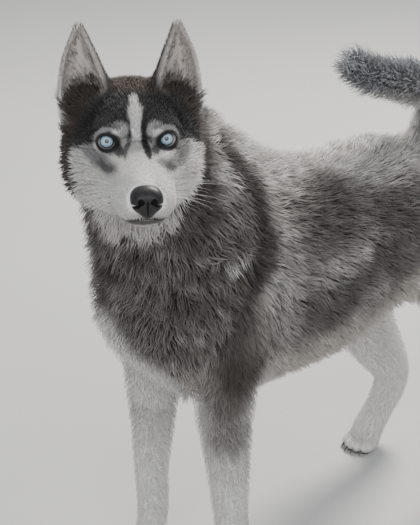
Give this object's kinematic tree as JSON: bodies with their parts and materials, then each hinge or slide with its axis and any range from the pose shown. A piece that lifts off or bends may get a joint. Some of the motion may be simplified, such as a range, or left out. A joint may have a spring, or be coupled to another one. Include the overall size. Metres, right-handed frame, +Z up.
{
  "type": "siberian husky",
  "caption": "Standing husky dog with its head turned to its left and its tail curled over its back, a still life-size model.",
  "frame": {"origin": "on the ground, under the middle of the dog's outline", "axes": "+Z up, -Y the way the trunk faces, +X the dog's left"},
  "size_m": [0.323, 0.8576, 0.8016],
  "materials": {
    "coat": "thick double coat, grey and black over white",
    "eye": "clear wet eye with a pale blue iris",
    "nose": "black, moist and pebbled"
  },
  "bodies": {
    "root": {"head": "coat", "left_ear": "coat", "right_ear": "coat", "left_eye": "eye", "right_eye": "eye", "nose": "nose", "neck": "coat", "trunk": "coat", "tail_root": "coat", "tail_middle": "coat", "tail_end": "coat", "left_shoulder": "coat", "left_forearm": "coat", "left_fore_paw": "coat", "right_shoulder": "coat", "right_forearm": "coat", "right_fore_paw": "coat", "left_thigh": "coat", "left_shank": "coat", "left_hind_paw": "coat", "right_thigh": "coat", "right_shank": "coat", "right_hind_paw": "coat"}
  },
  "joints": []
}
